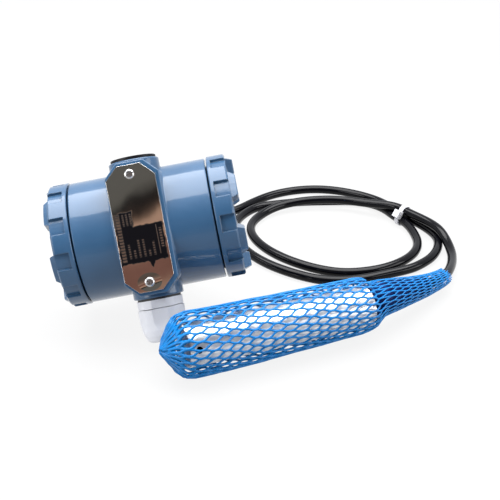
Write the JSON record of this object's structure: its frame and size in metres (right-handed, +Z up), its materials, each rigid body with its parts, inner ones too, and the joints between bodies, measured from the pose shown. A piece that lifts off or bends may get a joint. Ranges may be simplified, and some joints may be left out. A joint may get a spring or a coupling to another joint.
{
  "type": "liquid level sensor",
  "caption": "Submersible liquid level sensor: blue cast transmitter housing with screw covers, bright plate and gland, coiled black cable and a steel probe in a blue net sleeve.",
  "frame": {"origin": "on the table under the middle of the box round the housing and probe, cable left out", "axes": "X right along the longest side, from the left cover to the tail of the net; Y away from the nameplate side; Z up, table at Z = 0"},
  "size_m": [0.2934, 0.3195, 0.1221],
  "materials": {
    "blue_paint": "glossy steel-blue powder coat on die-cast aluminium",
    "plate_steel": "polished stainless sheet",
    "bright_steel": "bright plated screws",
    "black_plastic": "black moulded nylon",
    "black_rubber": "black nitrile rubber",
    "white_nylon": "off-white moulded nylon",
    "grey_plastic": "dark grey moulding",
    "brass_screw": "plated brass",
    "green_board": "green laminate with solder mask",
    "probe_steel": "fine turned stainless steel",
    "net_blue": "extruded blue polyethylene net",
    "cable_jacket": "satin black polyurethane jacket",
    "tie_white": "white nylon tie"
  },
  "bodies": {
    "sensor": {"housing_body": "blue_paint", "nameplate": "plate_steel", "nameplate_screws": "bright_steel", "gland_gasket": "black_rubber", "gland_body": "white_nylon", "neck_oring": "black_rubber", "outlet_neck": "probe_steel", "outlet_gasket": "black_rubber", "outlet_gland_body": "white_nylon", "outlet_seal": "black_rubber", "outlet_nut": "white_nylon", "terminal_block": "black_plastic", "terminal_screws": "brass_screw", "block_fixing_screws": "bright_steel", "earth_screw": "bright_steel", "circuit_board": "green_board", "board_standoffs": "brass_screw", "board_screws": "bright_steel", "module_case": "grey_plastic", "wire_bushing": "black_plastic", "nose_cap": "probe_steel", "probe_tube": "probe_steel", "pressure_capsule": "probe_steel", "capsule_oring": "black_rubber", "capsule_retainer": "probe_steel", "probe_board": "green_board", "rear_plug": "probe_steel", "rear_plug_oring": "black_rubber", "cable_seal": "black_rubber", "compression_nut": "black_plastic", "cable_boot": "black_rubber", "mesh_sleeve": "net_blue", "cable_lead": "cable_jacket", "cable_coil": "cable_jacket", "cable_tail": "cable_jacket", "cable_tie": "tie_white"},
    "left_cover_travel": {"left_cover_oring": "black_rubber"},
    "left_cover_turn": {"left_cover": "blue_paint"},
    "right_cover_travel": {"right_cover_oring": "black_rubber"},
    "right_cover_turn": {"right_cover": "blue_paint"},
    "plug_travel": {"plug_gasket": "black_rubber"},
    "plug_turn": {"conduit_plug": "black_plastic"},
    "gland_nut_travel": {"gland_seal": "black_rubber"},
    "gland_nut_turn": {"gland_nut": "white_nylon"}
  },
  "joints": [
    {"name": "left_cover_slide", "type": "slide", "parent": "sensor", "child": "left_cover_travel", "axis": [-0.9823, -0.0821, -0.1684], "range_m": [0, 0.014]},
    {"name": "left_cover_spin", "type": "hinge", "parent": "left_cover_travel", "child": "left_cover_turn", "pos_m": [-0.11723, -0.0134, 0.05721], "axis": [-0.9823, -0.0821, -0.1684], "range_deg": [0, 2520]},
    {"name": "right_cover_slide", "type": "slide", "parent": "sensor", "child": "right_cover_travel", "axis": [0.9823, 0.0821, 0.1684], "range_m": [0, 0.014]},
    {"name": "right_cover_spin", "type": "hinge", "parent": "right_cover_travel", "child": "right_cover_turn", "pos_m": [-0.02868, -0.00599, 0.0724], "axis": [0.9823, 0.0821, 0.1684], "range_deg": [0, 2520]},
    {"name": "plug_slide", "type": "slide", "parent": "sensor", "child": "plug_travel", "axis": [-0.1874, 0.4306, 0.8829], "range_m": [0, 0.0105]},
    {"name": "plug_spin", "type": "hinge", "parent": "plug_travel", "child": "plug_turn", "pos_m": [-0.08224, 0.00017, 0.11012], "axis": [-0.1874, 0.4306, 0.8829], "range_deg": [0, 2520]},
    {"name": "gland_nut_slide", "type": "slide", "parent": "sensor", "child": "gland_nut_travel", "axis": [0.1874, -0.4306, -0.8829], "range_m": [0, 0.012]},
    {"name": "gland_nut_spin", "type": "hinge", "parent": "gland_nut_travel", "child": "gland_nut_turn", "pos_m": [-0.06534, -0.03867, 0.03049], "axis": [0.1874, -0.4306, -0.8829], "range_deg": [0, 2880]}
  ],
  "couplings": [
    {"joint": "left_cover_spin", "follows": "left_cover_slide", "rad_per_m": 3141.6},
    {"joint": "right_cover_spin", "follows": "right_cover_slide", "rad_per_m": 3141.6},
    {"joint": "plug_spin", "follows": "plug_slide", "rad_per_m": 4188.8},
    {"joint": "gland_nut_spin", "follows": "gland_nut_slide", "rad_per_m": 4188.8}
  ]
}
